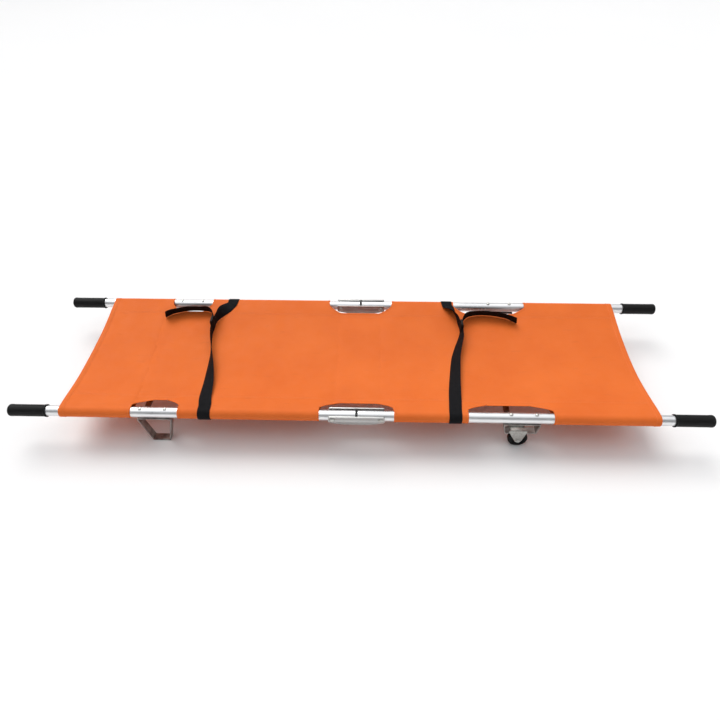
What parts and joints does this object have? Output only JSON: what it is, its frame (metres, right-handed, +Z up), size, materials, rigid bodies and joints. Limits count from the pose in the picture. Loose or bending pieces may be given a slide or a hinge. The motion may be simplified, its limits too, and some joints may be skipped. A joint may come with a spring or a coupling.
{
  "type": "folding stretcher",
  "caption": "Folding patient stretcher with jointed aluminium poles, an orange cloth bed, feet, castors, spreader bars and webbing straps.",
  "frame": {"origin": "on the floor, under the middle of the stretcher's box", "axes": "+X along the poles towards the castor end, +Y towards the stretcher's left side, +Z up"},
  "size_m": [2.1, 0.5632, 0.1692],
  "materials": {
    "aluminium": "drawn tube, lightly brushed along its length",
    "hinge_plate": "satin pressed plate with bright cut edges",
    "steel_bar": "dull plated flat bar",
    "zinc": "zinc plated, slightly mottled",
    "grip_rubber": "matt moulded rubber",
    "wheel_rubber": "smooth hard rubber",
    "bed_cloth": "orange coated woven cloth with a faint sheen",
    "webbing": "black ribbed webbing",
    "buckle_plastic": "black moulded plastic"
  },
  "bodies": {
    "foot_half_right": {"foot_pole_right": "aluminium", "foot_grip_right": "grip_rubber", "foot_rivet_1_right": "zinc", "foot_rivet_2_right": "zinc", "foot_spreader_pivot_right": "zinc", "sleeve_foot_outer_right": "bed_cloth", "sleeve_foot_inner_right": "bed_cloth", "foot_strap_right": "webbing", "foot_loop_right": "steel_bar", "bed_foot": "bed_cloth"},
    "hinge_right": {"hinge_channel_right": "hinge_plate", "foot_hinge_pin_right": "zinc", "wheel_hinge_pin_right": "zinc", "bed_middle": "bed_cloth"},
    "wheel_half_right": {"wheel_pole_right": "aluminium", "wheel_grip_right": "grip_rubber", "wheel_rivet_1_right": "zinc", "wheel_rivet_2_right": "zinc", "wheel_spreader_pivot_right": "zinc", "sleeve_wheel_outer_right": "bed_cloth", "sleeve_wheel_inner_right": "bed_cloth", "wheel_strap_right": "webbing", "castor_bracket_right": "steel_bar", "castor_fork_right": "zinc", "castor_axle_right": "zinc", "bed_wheel": "bed_cloth"},
    "foot_half_left": {"foot_pole_left": "aluminium", "foot_grip_left": "grip_rubber", "foot_rivet_1_left": "zinc", "foot_rivet_2_left": "zinc", "foot_spreader_pivot_left": "zinc", "sleeve_foot_outer_left": "bed_cloth", "sleeve_foot_inner_left": "bed_cloth", "foot_strap_left": "webbing", "foot_loop_left": "steel_bar", "foot_strap_buckle": "buckle_plastic"},
    "hinge_left": {"hinge_channel_left": "hinge_plate", "foot_hinge_pin_left": "zinc", "wheel_hinge_pin_left": "zinc"},
    "wheel_half_left": {"wheel_pole_left": "aluminium", "wheel_grip_left": "grip_rubber", "wheel_rivet_1_left": "zinc", "wheel_rivet_2_left": "zinc", "wheel_spreader_pivot_left": "zinc", "sleeve_wheel_outer_left": "bed_cloth", "sleeve_wheel_inner_left": "bed_cloth", "wheel_strap_left": "webbing", "castor_bracket_left": "steel_bar", "castor_fork_left": "zinc", "castor_axle_left": "zinc", "wheel_strap_buckle": "buckle_plastic"},
    "foot_link_right": {"foot_spreader_link_right": "steel_bar"},
    "foot_link_left": {"foot_spreader_link_left": "steel_bar", "foot_spreader_knuckle": "zinc"},
    "wheel_link_right": {"wheel_spreader_link_right": "steel_bar"},
    "wheel_link_left": {"wheel_spreader_link_left": "steel_bar", "wheel_spreader_knuckle": "zinc"},
    "castor_right": {"castor_wheel_right": "wheel_rubber"},
    "castor_left": {"castor_wheel_left": "wheel_rubber"}
  },
  "joints": [
    {"name": "length_fold", "type": "hinge", "parent": "foot_half_right", "child": "hinge_right", "pos_m": [-0.072, -0.258, 0.121], "axis": [0, 1, 0], "range_deg": [0, 90]},
    {"name": "wheel_half_hinge_right", "type": "hinge", "parent": "hinge_right", "child": "wheel_half_right", "pos_m": [0.072, -0.258, 0.121], "axis": [0, 1, 0], "range_deg": [0, 90]},
    {"name": "foot_half_hinge_left", "type": "hinge", "parent": "foot_half_left", "child": "hinge_left", "pos_m": [-0.072, 0.258, 0.121], "axis": [0, 1, 0], "range_deg": [0, 90]},
    {"name": "wheel_half_hinge_left", "type": "hinge", "parent": "hinge_left", "child": "wheel_half_left", "pos_m": [0.072, 0.258, 0.121], "axis": [0, 1, 0], "range_deg": [0, 90]},
    {"name": "width_fold", "type": "hinge", "parent": "foot_half_right", "child": "foot_link_right", "pos_m": [-0.648, -0.228, 0.095], "axis": [0, 0, -1], "range_deg": [0, 72], "deforming": ["bed_foot", "bed_middle", "bed_wheel", "foot_strap_right", "wheel_strap_right"]},
    {"name": "foot_knuckle", "type": "hinge", "parent": "foot_link_right", "child": "foot_link_left", "pos_m": [-0.648, 0, 0.093], "axis": [0, 0, 1], "range_deg": [0, 144]},
    {"name": "foot_link_left_pivot", "type": "hinge", "parent": "foot_link_left", "child": "foot_half_left", "pos_m": [-0.648, 0.228, 0.091], "axis": [0, 0, -1], "range_deg": [0, 72]},
    {"name": "wheel_link_right_pivot", "type": "hinge", "parent": "wheel_half_right", "child": "wheel_link_right", "pos_m": [0.457, -0.228, 0.095], "axis": [0, 0, 1], "range_deg": [0, 72]},
    {"name": "wheel_knuckle", "type": "hinge", "parent": "wheel_link_right", "child": "wheel_link_left", "pos_m": [0.457, 0, 0.093], "axis": [0, 0, -1], "range_deg": [0, 144]},
    {"name": "castor_spin_right", "type": "hinge", "parent": "wheel_half_right", "child": "castor_right", "pos_m": [0.493, -0.258, 0.03], "axis": [0, 1, 0], "continuous": true},
    {"name": "castor_spin_left", "type": "hinge", "parent": "wheel_half_left", "child": "castor_left", "pos_m": [0.493, 0.258, 0.03], "axis": [0, 1, 0], "continuous": true}
  ],
  "couplings": [
    {"joint": "wheel_half_hinge_right", "follows": "length_fold", "ratio": 1},
    {"joint": "foot_half_hinge_left", "follows": "length_fold", "ratio": 1},
    {"joint": "wheel_half_hinge_left", "follows": "length_fold", "ratio": 1},
    {"joint": "foot_knuckle", "follows": "width_fold", "ratio": 2},
    {"joint": "foot_link_left_pivot", "follows": "width_fold", "ratio": 1},
    {"joint": "wheel_link_right_pivot", "follows": "width_fold", "ratio": 1},
    {"joint": "wheel_knuckle", "follows": "width_fold", "ratio": 2}
  ]
}
